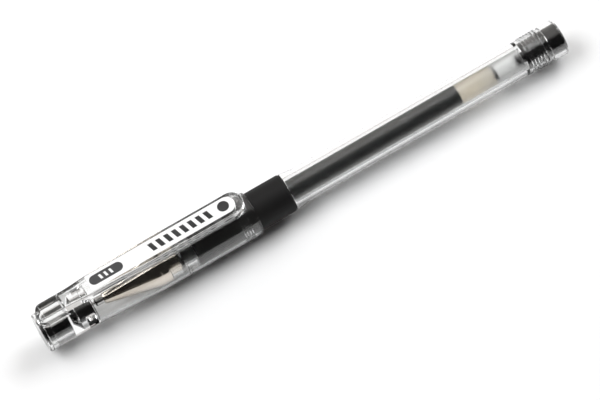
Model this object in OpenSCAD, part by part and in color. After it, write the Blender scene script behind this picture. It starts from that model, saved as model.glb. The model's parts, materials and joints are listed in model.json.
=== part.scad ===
// Capped gel pen: clear cap with a spring clip, polished tip cone, clear barrel with a rubber
// grip, and a needle-tip refill whose ink, grease and float show through the barrel.
// The pen lies along X. The crown of the cap is at the low end, the tail is at the high end,
// and the clip is on top (+Z). Sizes are in millimetres.
// The pieces are stacked outwards from the refill: each radius is the one inside it plus a
// clearance or a wall, so a thicker refill makes the whole pen thicker.

/* [Refill] */
// Outer diameter of the ink tube
refill_d = 5.0; // [3.6:0.1:7]
// Wall of the ink tube
refill_wall = 0.45; // [0.3:0.05:0.7]
// Diameter of the writing ball
ball_d = 0.5; // [0.48:0.01:0.6]
// Outer diameter of the needle pipe
needle_d = 0.8; // [0.74:0.02:1]
// Length of needle that shows ahead of the tip holder
needle_out = 3.0; // [2.2:0.1:4]
// Diameter of the tip holder's nose
nose_d = 2.1; // [1.6:0.1:2.4]
// Length of the tip holder that shows ahead of the cone
nose_out = 2.1; // [1.5:0.1:3]
// Length of the ink column, from the joint to the grease
ink_len = 77.8; // [20:0.2:80]
// Length of the follower grease behind the ink
grease_len = 9.4; // [5:0.2:12]
// Length of the float that rides on the grease
float_len = 0.9; // [0.6:0.1:3]

/* [Barrel] */
// Length of the barrel, from the cone to the tail
barrel_len = 107.2; // [100:0.2:135]
// Radial gap between the refill and the barrel's bore
refill_gap = 0.65; // [0.3:0.05:1.2]
// Wall of the clear tube
barrel_wall = 1.15; // [0.9:0.05:1.8]
// Length of the clear collar ahead of the grip
collar_len = 7.0; // [6:0.2:9]
// Wall of the collar around the thread
collar_wall = 1.0; // [0.7:0.05:1.6]
// Wall of the barrel under the grip
seat_wall = 0.9; // [0.7:0.05:1.4]

/* [Grip] */
// Length of the rubber grip
grip_len = 26.1; // [20:0.1:32]
// Thickness of the rubber
grip_wall = 0.7; // [0.5:0.05:1.2]

/* [Tip cone] */
// Length of the polished part of the cone
cone_len = 16.4; // [13:0.2:20]
// Length of the threaded shank
shank_len = 3.2; // [2.6:0.1:4.4]
// Rise of the thread in one turn
thread_pitch = 0.65; // [0.5:0.05:0.8]

/* [Cap] */
// Length of the cap, crown face to mouth
cap_len = 56.5; // [47:0.5:68]
// Radial gap between the cap and the grip
cap_gap = 0.2; // [0.15:0.05:0.5]
// Wall of the cap's tube
cap_wall = 0.65; // [0.5:0.05:1]
// Outer diameter of the crown ring
crown_d = 9.7; // [9.3:0.1:11]
// Length of the crown ring
crown_len = 2.4; // [2:0.1:3.4]
// Distance from the crown face to the writing tip with the cap on
nib_inset = 11.3; // [9.4:0.1:16]
// Length of the rubber nib cap inside the cap
nib_cap_len = 5.7; // [4.8:0.1:6.8]

/* [Clip] */
// Width of the clip near its free end
clip_w = 6.0; // [5:0.1:7.2]
// Height of the clip's side rails
clip_h = 2.55; // [2:0.05:3.1]
// Thickness of the clip's top plate
clip_plate = 1.9; // [0.9:0.05:1.9]
// Gap between the clip's rails and the cap's tube
clip_gap = 0.35; // [0.3:0.05:0.8]
// Distance that the clip's end stops short of the cap's mouth
clip_setback = 1.3; // [0.8:0.1:4]

/* [Tail] */
// Number of ribs round the tail
rib_count = 6; // [3:1:8]
// Distance between ribs
rib_pitch = 0.82; // [0.7:0.02:1]
// Length of the end collar
tail_collar_len = 4.0; // [3:0.1:6]

/* [Hidden] */

fine = 96;         // facets shown on a turned piece
press = 0.02;      // gap at a pressed or glued seat
running = 0.05;    // gap at a turning fit
chamfer = 0.3;     // common edge break
nick = 0.1;        // small edge break

// Radii, from the refill outwards
refill_r = refill_d / 2;
ink_r = refill_r - refill_wall;
bore_r = refill_r + refill_gap;
tube_r = bore_r + barrel_wall;
seat_r = bore_r + seat_wall;
grip_r = seat_r + grip_wall;
thread_h = 0.47;                            // height of the barrel's thread step over its bore
thread_r = bore_r + thread_h;
shank_r = thread_r - running;
collar_r = thread_r + collar_wall;
snap_h = 0.13;                              // height of the snap ring on the collar
snap_r = collar_r + snap_h;
snap_clear = 0.08;                          // gap between the snap ring and the cap's bead
cap_bore_r = max(grip_r, snap_r) + cap_gap;
cap_r = cap_bore_r + cap_wall;
ring_h = 0.15;                              // height of the finger rings at the cap's mouth
axis_z = cap_r + ring_h;                    // height of the pen's axis when it lies on its cap

// Stations along the pen, from the crown face
nose_x = nib_inset + needle_out;
cone_x = nose_x + nose_out;
joint_x = cone_x + cone_len;
grip_x0 = joint_x + collar_len;
grip_x1 = grip_x0 + grip_len;
pen_len = joint_x + barrel_len;

// Inside the cap
nib_cover = 1.9;                            // depth of the writing tip in the nib cap
nib_mouth_x = nib_inset + nib_cover;
nib_back_x = nib_mouth_x - nib_cap_len;
nib_cone_len = 1.7;
septum = 0.6;                               // wall between the end plug and the nib cap
crown_r = crown_d / 2;
neck_r = crown_r - nick;
neck_wall = 0.75;                           // wall of the tube just behind the nib cap
spigot_r = neck_r - neck_wall;
spigot_x = 1.0;
end_plug_x = nib_back_x - septum;
end_plug_wall = 1.65;                       // wall of the tube round the end plug
end_plug_r = neck_r - end_plug_wall;
end_plug_lip = 0.4;                         // height of the plug's head over its body
end_plug_head_r = end_plug_r + end_plug_lip;
end_plug_head = 0.9;
end_plug_inset = 0.05;                      // depth of the plug's face in the crown
nib_cap_r = end_plug_r - 0.45;
nib_tip_r = 1.2;
nib_blind = 1.1;                            // rubber left behind the needle's bore
nib_sleeve_len = 1.3;                       // depth of the wider bore that takes the nose
nose_room = 0.3;                            // radial room round the tip holder's nose
cavity_x = nib_mouth_x + 0.2;
cavity_r = neck_r - neck_wall;
taper_x0 = nib_mouth_x - 0.2;
taper_len = 17;
taper_x1 = taper_x0 + taper_len;

// Vent windows through the cap's wall, which also lock the nib cap's lugs
window_len = 2.4;
window_w = 2.2;
window_x = nib_mouth_x - 0.3 - window_len;
lug_gap = 0.15;                             // gap round a lug in its window
lug_out = 1.6;                              // height of a lug over the nib cap
lug_root = 0.6;                             // length of a lug that stands in the nib cap

// Snap fit of the cap, eased to a clearance
snap_x = joint_x + shank_len;
snap_half = 0.4;
bead_x = snap_x + 1.1;
bead_h = cap_bore_r - snap_r - snap_clear;

// Rings at the cap's mouth
ring_count = 4;
ring_pitch = 0.65;
ring_w = 0.4;
ring_x = cap_len - 4.6;
lip_len = 1.9;
lip_drop = 0.35;
mouth_flare = 0.15;                         // how far the bore opens at the mouth
mouth_flare_len = 0.6;

// Clip and its root block
clip_z0 = cap_r + clip_gap;
clip_z1 = clip_z0 + clip_h;
clip_mid_z = (clip_z0 + clip_z1) / 2;
clip_root_w = clip_w - 1.6;
clip_waist_w = clip_w - 0.7;
clip_waist = 8;                             // distance from the pivot to the waist
clip_full = 26;                             // distance from the pivot to the full width
clip_rail = 0.5;
root_x0 = 0.3;
root_x1 = 7.3;
root_run = 2.0;                             // length of the quarter round at the root's front
pivot_x = root_x1 + 0.9;
clip_end_x = cap_len - clip_setback;
pocket_x0 = pivot_x + 3.2;
pocket_x1 = clip_end_x - 2.1;

// Tail
tail_collar_x = pen_len - tail_collar_len;
groove_len = 0.6;
groove_r = tube_r - 0.2;
rib_x0 = tail_collar_x - groove_len - rib_count * rib_pitch;
rib_r = tube_r + 0.25;
rib_root_r = tube_r - 0.05;
tail_collar_r = tube_r + 0.15;
tail_chamfer = 0.4;
plug_r = bore_r + 0.35;
plug_x0 = rib_x0 - 0.75;
plug_x1 = pen_len - chamfer;
plug_pin_len = 2.0;
plug_dish = 0.5;                            // depth of the dish in the plug's end
refill_end_x = plug_x0 - 0.8;

// Refill joint and tip holder, inside the cone
joint_len = 3.5;
joint_plug_len = 2.5;
refill_x0 = joint_x - 1.3;
refill_joint_x = refill_x0 - joint_len;
holder_r = refill_r - 0.6;
holder_tail_r = holder_r - 0.7;
holder_tail_len = 2.4;
holder_step_x = refill_joint_x - 4.7;
holder_neck_len = 2.2;
needle_r = needle_d / 2;
needle_grip_len = 2.7;
needle_taper = 0.35;                        // length that is closed in round the ball
ball_r = ball_d / 2;
ball_x = nib_inset + ball_r;
ball_gap = 0.015;
ball_hold = 0.4;                            // how far the rim reaches past the ball, of its radius
rim_wall = 0.05;
needle_bore_r = ball_r - 0.1;
needle_x = ball_x - ball_hold * ball_r;
ink_x = refill_x0 + joint_plug_len + 0.2;
grease_x = ink_x + ink_len;
float_x = grease_x + grease_len;
float_r = ink_r - 0.2;

// Puts a piece in the pen's own frame: centred along X, resting on Z = 0
module place() {
    translate([-pen_len / 2, 0, axis_z]) children();
}

// A turned piece: the outline is a list of [radius, station] points
module turned(outline) {
    rotate([0, 90, 0]) rotate_extrude($fn = fine) polygon(outline);
}

// Points of a rounded corner, centred at [radius, station]
function arc(c, r, a0, a1, steps = 6) =
    [for (i = [0:steps]) let (a = a0 + (a1 - a0) * i / steps) c + r * [sin(a), cos(a)]];

// Points of a row of square-topped ribs, from station x
function ribs(root, crest, x, pitch, width, count) =
    [for (i = [0:count - 1], p = [
        [root, x + i * pitch], [crest, x + i * pitch + 0.25 * width],
        [crest, x + i * pitch + 0.75 * width], [root, x + i * pitch + width]
    ]) p];

// Clear tube of the cap, with the seats of both plugs and the finger rings at its mouth
module cap_tube() {
    color([0.86, 0.89, 0.9, 0.35]) place() difference() {
        turned(concat(
            [
                [0, end_plug_x], [end_plug_r, end_plug_x], [end_plug_r, spigot_x],
                [spigot_r, spigot_x], [spigot_r, crown_len], [neck_r, crown_len],
                [neck_r, taper_x0], [cap_r, taper_x1]
            ],
            ribs(cap_r, cap_r + ring_h, ring_x, ring_pitch, ring_w, ring_count),
            [
                [cap_r, cap_len - lip_len], [cap_r - lip_drop, cap_len],
                [cap_bore_r + mouth_flare, cap_len], [cap_bore_r, cap_len - mouth_flare_len],
                [cap_bore_r, bead_x + snap_half], [cap_bore_r - bead_h, bead_x + snap_half / 2],
                [cap_bore_r - bead_h, bead_x - snap_half / 2], [cap_bore_r, bead_x - snap_half],
                [cap_bore_r, taper_x1], [cavity_r, cavity_x],
                [nib_cap_r + press, cavity_x], [nib_cap_r + press, nib_back_x + nib_cone_len],
                [nib_tip_r + press, nib_back_x], [0, nib_back_x]
            ]
        ));
        for (y0 = [-nib_tip_r - cap_r, nib_tip_r]) {
            translate([window_x, y0, -window_w / 2]) cube([window_len, cap_r, window_w]);
        }
    }
}

// Outline of the clip's root from above: a rounded nose that runs back at the root's width
module root_plan() {
    hull() {
        translate([root_x0 + clip_root_w / 2, 0]) circle(d = clip_root_w, $fn = 32);
        translate([root_x1 - 1, -clip_root_w / 2]) square([1, clip_root_w]);
    }
}

// Side outline of the clip's root: a quarter round that rises to the clip's top
module root_profile() {
    rise = clip_z1 - crown_r + 2 * chamfer;
    polygon(concat(
        [[root_x1, clip_z1], [root_x1, 0], [root_x0, 0]],
        [for (a = [0:15:90]) [root_x0 + root_run * (1 - cos(a)), clip_z1 - rise * (1 - sin(a))]]
    ));
}

// Block at the clip's root, with a saddle over the tube and a round seat for the arm
module root_block() {
    difference() {
        intersection() {
            linear_extrude(height = clip_z1) root_plan();
            translate([0, clip_w, 0]) rotate([90, 0, 0])
                linear_extrude(height = 2 * clip_w) root_profile();
        }
        translate([-1, 0, 0]) rotate([0, 90, 0])
            cylinder(r = (spigot_r + crown_r) / 2, h = crown_len + 1, $fn = fine);
        translate([crown_len - press, 0, 0]) rotate([0, 90, 0])
            cylinder(r = neck_r + press, h = root_x1, $fn = fine);
        translate([pivot_x, clip_w, clip_mid_z]) rotate([90, 0, 0])
            cylinder(r = clip_h / 2 + running, h = 2 * clip_w, $fn = fine);
    }
}

// Clear crown ring with the clip's root block, which rises from it
module cap_crown() {
    color([0.86, 0.89, 0.9, 0.35]) place() union() {
        turned([
            [end_plug_head_r + press, 0], [crown_r - chamfer, 0], [crown_r, chamfer],
            [crown_r, crown_len - press], [spigot_r + press, crown_len - press],
            [spigot_r + press, spigot_x - press], [end_plug_head_r + press, spigot_x - press]
        ]);
        root_block();
    }
}

// Black plug that closes the crown and shows through it
module cap_end_plug() {
    color([0.06, 0.06, 0.06]) place() turned([
        [0, end_plug_inset], [end_plug_head_r - nick, end_plug_inset],
        [end_plug_head_r, end_plug_inset + nick], [end_plug_head_r, end_plug_head],
        [end_plug_r - press, end_plug_head],
        [end_plug_r - press, end_plug_x - press], [0, end_plug_x - press]
    ]);
}

// Black rubber nib cap: a blind sleeve that seals round the needle when the cap is on
module nib_cap() {
    sleeve_r = nose_d / 2 + nose_room;
    sleeve_x = nib_mouth_x - nib_sleeve_len;
    lug_h = lug_out + lug_root;
    lug_mid_y = nib_cap_r + (lug_out - lug_root) / 2;
    color([0.07, 0.07, 0.07]) place() union() {
        turned([
            [0, nib_back_x + press], [nib_tip_r, nib_back_x + press],
            [nib_cap_r, nib_back_x + nib_cone_len + press], [nib_cap_r, nib_mouth_x],
            [sleeve_r, nib_mouth_x], [sleeve_r, sleeve_x],
            [needle_r + running, sleeve_x], [needle_r + running, nib_back_x + nib_blind],
            [0, nib_back_x + nib_blind]
        ]);
        for (side = [-1, 1]) {
            translate([
                window_x + lug_gap, side * lug_mid_y - lug_h / 2, -window_w / 2 + lug_gap
            ])
                cube([window_len - 2 * lug_gap, lug_h, window_w - 2 * lug_gap]);
        }
    }
}

// Outline of the clip's arm from above: it widens from the root and ends in a half round
module arm_plan(inset = 0) {
    end_r = clip_w / 2 - inset;
    polygon(concat(
        [
            [0, -clip_root_w / 2 + inset], [clip_waist, -clip_waist_w / 2 + inset],
            [clip_full, -clip_w / 2 + inset]
        ],
        [for (a = [-90:7.5:90])
            [clip_end_x - pivot_x - clip_w / 2 + end_r * cos(a), end_r * sin(a)]],
        [
            [clip_full, clip_w / 2 - inset], [clip_waist, clip_waist_w / 2 - inset],
            [0, clip_root_w / 2 - inset]
        ]
    ));
}

// Clear clip arm: a plate with rails down its sides, which swings on the root's round seat
module clip_arm() {
    color([0.88, 0.91, 0.92, 0.35]) place() difference() {
        union() {
            translate([pivot_x, 0, clip_z0]) linear_extrude(height = clip_h) arm_plan();
            translate([pivot_x, clip_root_w / 2, clip_mid_z]) rotate([90, 0, 0])
                cylinder(d = clip_h, h = clip_root_w, $fn = fine);
        }
        translate([pivot_x, 0, clip_z0 - 1]) linear_extrude(height = clip_h - clip_plate + 1)
            intersection() {
                arm_plan(clip_rail);
                translate([pocket_x0 - pivot_x, -clip_w])
                    square([pocket_x1 - pocket_x0, 2 * clip_w]);
            }
    }
}

// Polished metal cone that holds the refill's nose and screws into the collar
module front_cone() {
    front_r = nose_d / 2 + nose_room;
    swell_x = joint_x - 3.5;
    swell_drop = 0.17;
    line_x = joint_x - 2.1;
    line_drop = 0.03;
    bore = refill_r + 0.2;
    back_x = joint_x + shank_len;
    color([0.72, 0.69, 0.66]) place() turned(concat(
        [
            [nose_d / 2 + running, cone_x], [front_r, cone_x], [front_r + nick, cone_x + nick],
            [collar_r - swell_drop, swell_x], [collar_r - line_drop, line_x - nick],
            [collar_r - nick, line_x], [collar_r - line_drop, line_x + nick],
            [collar_r, joint_x - chamfer], [collar_r - nick, joint_x - running],
            [shank_r - nick, joint_x - running]
        ],
        ribs(shank_r - nick, shank_r, joint_x + 0.4, thread_pitch, thread_pitch * 0.8, 4),
        [
            [shank_r - nick, back_x], [bore, back_x], [bore, refill_joint_x - running],
            [holder_r + running, refill_joint_x - running],
            [holder_r + running, holder_step_x - running],
            [nose_d / 2 + running, holder_step_x - holder_neck_len - running]
        ]
    ));
}

// Clear barrel: collar, grip seat, tube, and the ribbed tail with its end collar
module barrel() {
    shoulder_r = grip_r - nick;
    shoulder_len = 0.7;
    shoulder_taper = 2.8;
    color([0.86, 0.89, 0.9, 0.35]) place() turned(concat(
        [
            [thread_r, joint_x], [collar_r - nick, joint_x], [collar_r, joint_x + nick],
            [collar_r, snap_x - snap_half], [snap_r, snap_x - snap_half / 2],
            [snap_r, snap_x + snap_half / 2], [collar_r, snap_x + snap_half],
            [collar_r, grip_x0], [seat_r, grip_x0], [seat_r, grip_x1],
            [shoulder_r, grip_x1], [shoulder_r, grip_x1 + shoulder_len],
            [tube_r, grip_x1 + shoulder_len + shoulder_taper], [tube_r, rib_x0 - 1.2],
            [rib_root_r + nick, rib_x0 - 0.2]
        ],
        ribs(rib_root_r, rib_r, rib_x0, rib_pitch, 0.7 * rib_pitch, rib_count),
        [
            [rib_root_r, tail_collar_x - groove_len], [groove_r, tail_collar_x - groove_len],
            [groove_r, tail_collar_x], [tail_collar_r, tail_collar_x],
            [tail_collar_r, pen_len - tail_chamfer], [tail_collar_r - tail_chamfer + 0.05, pen_len],
            [plug_r, pen_len], [plug_r, plug_x0 - nick], [bore_r, plug_x0 - nick - 0.8],
            [bore_r, snap_x + nick + 0.5], [thread_r, snap_x + nick]
        ]
    ));
}

// Black rubber grip, a sleeve with a rounded rear edge
module grip() {
    edge = 0.55;
    front_edge = 0.15;
    color([0.1, 0.1, 0.1]) place() turned(concat(
        [
            [seat_r + press, grip_x0 + press], [grip_r - front_edge, grip_x0 + press],
            [grip_r, grip_x0 + front_edge + press]
        ],
        arc([grip_r - edge, grip_x1 - press - edge], edge, 90, 0),
        [[seat_r + press, grip_x1 - press]]
    ));
}

// Black tail plug, with a pin that keeps the refill's open end central
module tail_plug() {
    outer = plug_r - press;
    pin_r = ink_r - 0.75;
    edge = 0.25;
    rim = 0.7;
    color([0.06, 0.06, 0.06]) place() turned([
        [0, plug_x0 - plug_pin_len], [pin_r - edge, plug_x0 - plug_pin_len],
        [pin_r, plug_x0 - plug_pin_len + edge], [pin_r, plug_x0],
        [outer - edge, plug_x0], [outer, plug_x0 + edge], [outer, plug_x1],
        [outer - rim, plug_x1], [outer - rim - edge, plug_x1 - plug_dish],
        [0, plug_x1 - plug_dish]
    ]);
}

// Translucent ink tube
module refill_tube() {
    color([0.9, 0.9, 0.88, 0.5]) place() turned([
        [ink_r, refill_x0], [refill_r, refill_x0], [refill_r, refill_end_x],
        [ink_r, refill_end_x]
    ]);
}

// Plastic joint between the tube and the metal tip
module refill_joint() {
    inlet_r = 0.6;
    color([0.9, 0.9, 0.88]) place() turned([
        [holder_tail_r + press, refill_joint_x], [refill_r - nick, refill_joint_x],
        [refill_r, refill_joint_x + nick], [refill_r, refill_x0 - press],
        [ink_r - press, refill_x0 - press], [ink_r - press, refill_x0 + joint_plug_len],
        [inlet_r, refill_x0 + joint_plug_len], [inlet_r, refill_joint_x + holder_tail_len + press],
        [holder_tail_r + press, refill_joint_x + holder_tail_len + press]
    ]);
}

// Metal tip holder: nose, neck and shoulder, with the needle pressed into its front
module tip_holder() {
    feed_r = 0.35;
    seat_x = nose_x + needle_grip_len + press;
    color([0.7, 0.67, 0.62]) place() turned([
        [needle_r + press / 2, nose_x], [nose_d / 2 - chamfer, nose_x],
        [nose_d / 2, nose_x + chamfer],
        [nose_d / 2, holder_step_x - holder_neck_len], [holder_r, holder_step_x],
        [holder_r, refill_joint_x - press], [holder_tail_r, refill_joint_x - press],
        [holder_tail_r, refill_joint_x + holder_tail_len],
        [feed_r, refill_joint_x + holder_tail_len], [feed_r, seat_x + chamfer],
        [needle_bore_r, seat_x + chamfer], [needle_bore_r, seat_x],
        [needle_r + press / 2, seat_x]
    ]);
}

// Steel needle pipe, closed in at the front round the ball
module needle() {
    color([0.75, 0.75, 0.76]) place() difference() {
        turned([
            [needle_bore_r, needle_x], [ball_r + rim_wall, needle_x],
            [needle_r, needle_x + needle_taper], [needle_r, nose_x + needle_grip_len],
            [needle_bore_r, nose_x + needle_grip_len]
        ]);
        translate([ball_x, 0, 0]) sphere(r = ball_r + ball_gap, $fn = 48);
    }
}

// Carbide writing ball
module writing_ball() {
    color([0.55, 0.55, 0.57]) place() translate([ball_x, 0, 0]) sphere(r = ball_r, $fn = 48);
}

// Column of black ink
module ink() {
    color([0.04, 0.05, 0.05]) place() translate([ink_x, 0, 0]) rotate([0, 90, 0])
        cylinder(r = ink_r - press, h = ink_len - press, $fn = fine);
}

// Cream grease that follows the ink down the tube and seals it
module follower_grease() {
    color([0.87, 0.81, 0.74]) place() translate([grease_x, 0, 0]) rotate([0, 90, 0])
        cylinder(r = ink_r - 2 * press, h = grease_len - press, $fn = fine);
}

// Plastic float that rides on the grease
module follower_float() {
    color([0.5, 0.5, 0.48]) place() turned([
        [0, float_x], [float_r - nick, float_x], [float_r, float_x + nick],
        [float_r, float_x + float_len], [0, float_x + float_len]
    ]);
}

cap_tube();
cap_crown();
cap_end_plug();
nib_cap();
clip_arm();
front_cone();
barrel();
grip();
tail_plug();
refill_tube();
refill_joint();
tip_holder();
needle();
writing_ball();
ink();
follower_grease();
follower_float();
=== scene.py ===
# %% [markdown]
# # A capped gel pen, shell by shell
# The real pen is a set of clear and black mouldings, nearly all of them turned about one axis,
# pushed or screwed into each other. What makes it look real is light bending through several
# thin clear walls before it meets the black ink, so every wall has to be there, at its true
# thickness, with an air gap where the real one has an air gap.
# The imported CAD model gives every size. It is loaded first and never changed.

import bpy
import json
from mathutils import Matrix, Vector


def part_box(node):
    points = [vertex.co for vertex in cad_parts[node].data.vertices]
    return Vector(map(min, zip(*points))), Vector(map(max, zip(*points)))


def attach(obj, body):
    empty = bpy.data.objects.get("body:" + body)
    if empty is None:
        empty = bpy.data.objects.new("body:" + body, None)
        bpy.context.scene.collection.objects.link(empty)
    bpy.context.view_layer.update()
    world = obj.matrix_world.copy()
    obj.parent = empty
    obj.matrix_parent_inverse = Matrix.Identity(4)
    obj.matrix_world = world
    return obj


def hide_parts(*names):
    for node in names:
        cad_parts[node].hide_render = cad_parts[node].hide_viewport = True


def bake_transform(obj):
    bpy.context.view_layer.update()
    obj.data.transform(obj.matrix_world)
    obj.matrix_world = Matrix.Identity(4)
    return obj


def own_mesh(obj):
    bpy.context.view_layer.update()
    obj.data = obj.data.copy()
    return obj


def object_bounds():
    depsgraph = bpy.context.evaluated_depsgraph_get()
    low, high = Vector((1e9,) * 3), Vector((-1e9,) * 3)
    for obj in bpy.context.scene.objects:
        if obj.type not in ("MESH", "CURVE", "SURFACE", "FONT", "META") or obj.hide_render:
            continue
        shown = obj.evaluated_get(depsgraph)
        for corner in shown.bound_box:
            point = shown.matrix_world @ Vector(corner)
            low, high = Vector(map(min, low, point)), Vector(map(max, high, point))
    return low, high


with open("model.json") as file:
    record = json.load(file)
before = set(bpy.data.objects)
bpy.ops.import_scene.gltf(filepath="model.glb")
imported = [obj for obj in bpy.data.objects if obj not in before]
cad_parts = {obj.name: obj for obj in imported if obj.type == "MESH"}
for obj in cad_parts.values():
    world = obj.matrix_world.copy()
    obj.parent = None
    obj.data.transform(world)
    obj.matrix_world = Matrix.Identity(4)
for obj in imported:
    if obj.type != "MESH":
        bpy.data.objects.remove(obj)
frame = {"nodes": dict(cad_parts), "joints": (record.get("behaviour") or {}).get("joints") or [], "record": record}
cad_low, cad_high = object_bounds()

# %% [markdown]
# A pen maker measures along the axis from the crown of the cap, and outwards from the axis.
# The same two numbers, a station and a radius in millimetres, are used for every piece here,
# and one helper turns them into a point of the frame in metres.

# %% The pen's own measures
import json
import math

import bmesh
import bpy
from mathutils import Matrix, Vector

MM = 0.001
mounts = {m["name"]: m for m in frame["record"]["mounts"]}
crown_x = cad_low.x
axis_z = mounts["tail_post"]["pos_m"][2]


def spot(station, across=0.0, up=0.0):
    """A point of the frame in metres, from millimetres along, across and above the pen's axis."""
    return Vector((crown_x + station * MM, across * MM, axis_z + up * MM))


def span(node):
    """First and last station of a node, in millimetres."""
    low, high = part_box(node)
    return (low.x - crown_x) / MM, (high.x - crown_x) / MM


pen_len = (cad_high.x - cad_low.x) / MM
print(f"pen {pen_len:.1f} mm long, axis {axis_z / MM:.2f} mm above the table")

# %% [markdown]
# A turned part is described by half of its section: the outline a lathe tool would follow.
# It could be typed in again, but then the look and the CAD could drift apart. So the outline is
# read back from the CAD node. All its vertices lie on circles about the axis, so each circle is
# one corner of the outline, and a triangle edge between two circles says which corners are
# neighbours. Only the lower third of the part is read, where no window or lug is cut.

# %% Read a turned node's outline
SAME = 0.012


def circles(node, lowest=0.5):
    """The circles that a turned node's vertices lie on, and which circle is next to which."""
    mesh = frame["nodes"][node].data
    found, kinds = [], []
    for v in mesh.vertices:
        across, up = v.co.y / MM, (v.co.z - axis_z) / MM
        radius, station = math.hypot(across, up), (v.co.x - crown_x) / MM
        kind = -1
        if up <= -lowest * radius:
            near = [i for i, c in enumerate(found)
                    if abs(c[0] - radius) < SAME and abs(c[1] - station) < SAME]
            kind = near[0] if near else len(found)
            if not near:
                found.append((radius, station))
        kinds.append(kind)
    beside = [set() for _ in found]
    for face in mesh.polygons:
        k = [kinds[i] for i in face.vertices]
        if -1 not in k:
            for a, b in zip(k, k[1:] + k[:1]):
                if a != b:
                    beside[a].add(b)
                    beside[b].add(a)
    return found, beside


def section(node):
    """A turned node's outline: (radius, station) corners in order, closed on the axis if solid."""
    found, beside = circles(node)
    ends = [i for i, near in enumerate(beside) if len(near) == 1]
    walk = [ends[0] if ends else 0]
    while True:
        ahead = [i for i in beside[walk[-1]] if i not in walk]
        if not ahead:
            break
        walk.append(ahead[0])
    outline = [(round(found[i][0], 2), round(found[i][1], 2)) for i in walk]
    if ends:
        outline = [(0.0, outline[0][1])] + outline + [(0.0, outline[-1][1])]
    return outline


def in_line(a, b, c):
    """True if corner b adds nothing between a and c."""
    ab, bc = Vector(b) - Vector(a), Vector(c) - Vector(b)
    return ab.length < 1e-6 or bc.length < 1e-6 or ab.angle(bc) < math.radians(0.7)


def tidy(outline):
    """The outline without the corners that lie on a straight run."""
    solid = outline[0][0] == 0.0
    kept = [p for i, p in enumerate(outline)
            if (solid and i in (0, len(outline) - 1))
            or not in_line(outline[i - 1], p, outline[(i + 1) % len(outline)])]
    return kept


print("grip outline:", tidy(section("grip")))

# %% [markdown]
# Moulded plastic has no knife edges: every corner is rounded by a few hundredths or tenths of a
# millimetre, and that thin line is what catches the light. A bevel modifier could do it, but on
# clear parts its uneven corners bend the light in odd ways. Rounding the outline before it is
# turned gives a perfect ring instead. Each straight run also gets a support point close to both
# ends, so that smooth shading bends only in the rounding and a straight wall stays optically
# straight. A vertex attribute called edge marks the roundings for the wear in the materials.

# %% Round the corners and turn the outline
ROUND_STEPS = 4
SUPPORT = 0.03


def soften(outline, radius):
    """(radius, station, edge) points: each corner rounded, each long run with support points."""
    solid = outline[0][0] == 0.0
    count = len(outline)
    points = []
    for i, corner in enumerate(outline):
        c = Vector(corner)
        if solid and i in (0, count - 1):
            points.append((c, 0.0))
            continue
        back = Vector(outline[i - 1]) - c
        ahead = Vector(outline[(i + 1) % count]) - c
        turn = math.pi - back.angle(ahead)
        cut = min(radius * math.tan(turn / 2), 0.4 * back.length, 0.4 * ahead.length)
        if turn < math.radians(8):
            points.append((c, 0.0))
            continue
        a, b = c + back.normalized() * cut, c + ahead.normalized() * cut
        for k in range(ROUND_STEPS + 1):
            t = k / ROUND_STEPS
            points.append(((1 - t) ** 2 * a + 2 * t * (1 - t) * c + t * t * b, math.sin(math.pi * t)))
    full = []
    for i, (p, edge) in enumerate(points):
        full.append((p.x, p.y, edge))
        if i == len(points) - 1 and solid:
            break
        q = points[(i + 1) % len(points)][0]
        run = q - p
        if run.length > 6 * SUPPORT:
            step = run.normalized() * SUPPORT
            full.append((p.x + step.x, p.y + step.y, 0.0))
            full.append((q.x - step.x, q.y - step.y, 0.0))
    return full


def shade(mesh, angle=35):
    """Smooth shading, with the edges sharper than the angle kept sharp."""
    mesh.shade_smooth()
    mesh.set_sharp_from_angle(angle=math.radians(angle))


def finish_mesh(bm, name):
    """The bmesh as an object at the origin: doubles merged, faces outwards, smooth."""
    bmesh.ops.remove_doubles(bm, verts=bm.verts, dist=1e-7)
    bmesh.ops.recalc_face_normals(bm, faces=bm.faces)
    mesh = bpy.data.meshes.new(name)
    bm.to_mesh(mesh)
    bm.free()
    shade(mesh)
    piece = bpy.data.objects.new(name, mesh)
    bpy.context.scene.collection.objects.link(piece)
    return piece


def turn_ring(bm, radius, station, segments):
    """One circle of vertices about the axis, or the one vertex that lies on it."""
    if radius < 1e-6:
        return [bm.verts.new(spot(station))]
    angles = [2 * math.pi * k / segments for k in range(segments)]
    return [bm.verts.new(spot(station, radius * math.sin(a), radius * math.cos(a))) for a in angles]


def stitch(bm, one, two):
    """Faces between two rings of vertices, either of which may be a single point."""
    n = max(len(one), len(two))
    for k in range(n):
        a, b = one[k % len(one)], one[(k + 1) % len(one)]
        c, d = two[(k + 1) % len(two)], two[k % len(two)]
        corners = [v for i, v in enumerate((a, b, c, d)) if v not in (a, b, c, d)[:i]]
        if len(corners) > 2:
            bm.faces.new(corners)


def turned(name, outline, segments=128):
    """A piece turned about the pen's axis from (radius, station, edge) points."""
    bm = bmesh.new()
    edge_layer = bm.verts.layers.float.new("edge")
    rings = []
    for radius, station, edge in outline:
        ring = turn_ring(bm, radius, station, segments)
        for v in ring:
            v[edge_layer] = edge
        rings.append(ring)
    for one, two in zip(rings, rings[1:]):
        stitch(bm, one, two)
    if outline[0][0] > 1e-6:
        stitch(bm, rings[-1], rings[0])
    piece = finish_mesh(bm, name)
    print(f"{name}: {len(piece.data.vertices)} vertices")
    return piece


# %% [markdown]
# The finger rings at the cap's mouth, the ribs round the tail and the thread on the metal cone
# all follow one rule: a ridge that repeats along the axis. Geometry Nodes can state that rule
# once. The tree takes a plain turned piece with closely spaced rings of vertices and pushes the
# outer skin outwards where the ridge pattern says so. With Turns at 0 the ridges are separate
# rings. With Turns at 1 the pattern climbs one pitch for each turn, which is a screw thread.
# Because the ridges are raised from the wall itself, light crosses no hidden inner surface.

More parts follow.
